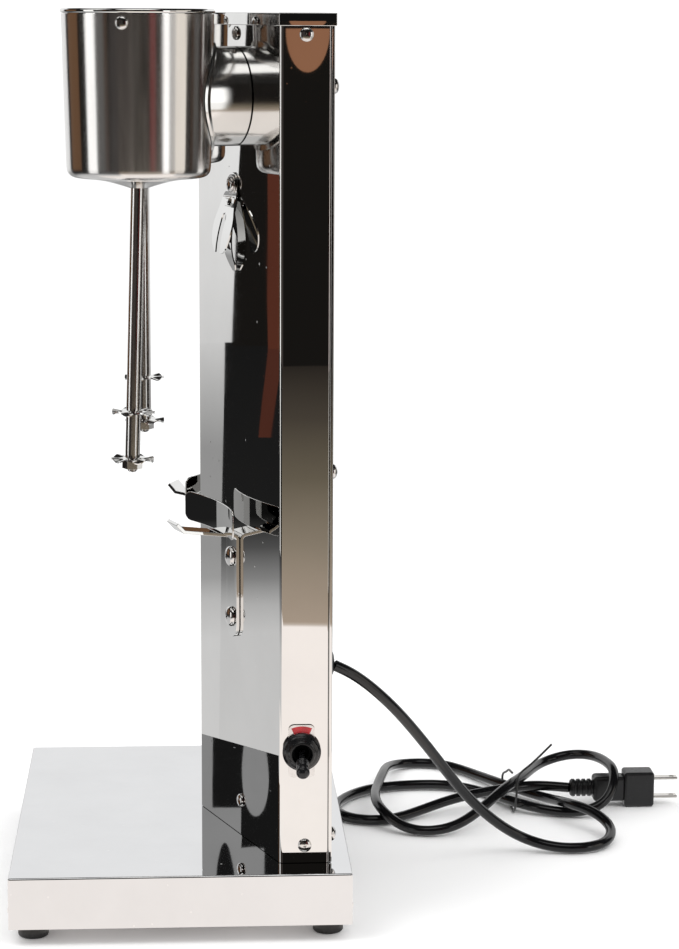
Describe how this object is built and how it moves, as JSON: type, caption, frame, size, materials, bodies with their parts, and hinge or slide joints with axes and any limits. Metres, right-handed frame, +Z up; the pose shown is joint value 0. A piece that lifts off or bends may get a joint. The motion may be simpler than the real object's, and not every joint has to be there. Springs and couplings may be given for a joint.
{
  "type": "milkshake mixer",
  "caption": "Countertop milkshake mixer: drum motor heads hang off a V-fronted steel column, each with an agitator spindle, a cup clip and a cup bracket.",
  "frame": {"origin": "centre of the base's footprint, on the surface it stands on", "axes": "+Z up; -Y is the front, where the heads and cup brackets are; +Y is the back, where the mains lead leaves; +X is towards the side whose spindle leans a little"},
  "size_m": [0.3452, 0.4288, 0.5236],
  "materials": {
    "polished_steel": "mirror-polished stainless steel sheet",
    "brushed_steel": "turned and brushed stainless steel",
    "satin_steel": "satin stainless steel bar",
    "zinc_plate": "dull zinc-plated steel",
    "copper_winding": "varnished copper winding on a laminated core",
    "brass": "plain brass",
    "rubber": "satin black rubber",
    "cord_rubber": "glossy black flexible PVC",
    "black_plastic": "black moulded plastic",
    "red_plastic": "red enamelled plate"
  },
  "bodies": {
    "root": {"base_bottom_plate": "zinc_plate", "base_cover": "polished_steel", "bracket_screw_lower_left": "polished_steel", "bracket_screw_lower_right": "polished_steel", "bracket_screw_upper_left": "polished_steel", "bracket_screw_upper_right": "polished_steel", "column_cap": "polished_steel", "column_foot_plate": "zinc_plate", "column_rear_cover": "polished_steel", "column_shell": "polished_steel", "cord_gland": "cord_rubber", "cord_tie": "black_plastic", "cup_backrest_left": "polished_steel", "cup_backrest_right": "polished_steel", "cup_bracket_left": "polished_steel", "cup_bracket_right": "polished_steel", "cup_clip_left": "polished_steel", "cup_clip_right": "polished_steel", "foot_front_left": "rubber", "foot_front_right": "rubber", "foot_rear_left": "rubber", "foot_rear_right": "rubber", "head_lid_left": "polished_steel", "head_lid_right": "polished_steel", "head_shell_left": "brushed_steel", "head_shell_right": "brushed_steel", "mains_cord": "cord_rubber", "motor_bearing_left": "brass", "motor_bearing_right": "brass", "motor_frame_left": "zinc_plate", "motor_frame_right": "zinc_plate", "motor_stator_left": "copper_winding", "motor_stator_right": "copper_winding", "neck_left": "polished_steel", "neck_right": "polished_steel", "plug_blade_lower": "satin_steel", "plug_blade_upper": "satin_steel", "plug_body": "cord_rubber", "spindle_boss_left": "polished_steel", "spindle_boss_right": "polished_steel", "switch_body_left": "black_plastic", "switch_body_right": "black_plastic", "switch_boot_left": "rubber", "switch_boot_right": "rubber", "switch_plate_left": "red_plastic", "switch_plate_right": "red_plastic"},
    "spindle_right_group": {"motor_rotor_right": "copper_winding", "spindle_right": "satin_steel", "agitator_upper_right": "polished_steel", "agitator_lower_right": "polished_steel", "agitator_spacer_right": "satin_steel", "spindle_nut_right": "satin_steel"},
    "toggle_right": {"toggle_lever_right": "rubber"},
    "spindle_left_group": {"motor_rotor_left": "copper_winding", "spindle_left": "satin_steel", "agitator_upper_left": "polished_steel", "agitator_lower_left": "polished_steel", "agitator_spacer_left": "satin_steel", "spindle_nut_left": "satin_steel"},
    "toggle_left": {"toggle_lever_left": "rubber"}
  },
  "joints": [
    {"name": "spindle_right_spin", "type": "hinge", "parent": "root", "child": "spindle_right_group", "pos_m": [0.07172, -0.0211, 0.44], "axis": [0, 0.0297, 0.9996], "continuous": true},
    {"name": "spindle_left_spin", "type": "hinge", "parent": "root", "child": "spindle_left_group", "pos_m": [-0.07172, -0.0211, 0.44], "axis": [0, 0, 1], "continuous": true},
    {"name": "toggle_right_flip", "type": "hinge", "parent": "root", "child": "toggle_right", "pos_m": [0.1138, 0.0691, 0.107], "axis": [0, -1, 0], "range_deg": [0, 48]},
    {"name": "toggle_left_flip", "type": "hinge", "parent": "root", "child": "toggle_left", "pos_m": [-0.1138, 0.0691, 0.107], "axis": [0, 1, 0], "range_deg": [0, 48]}
  ]
}
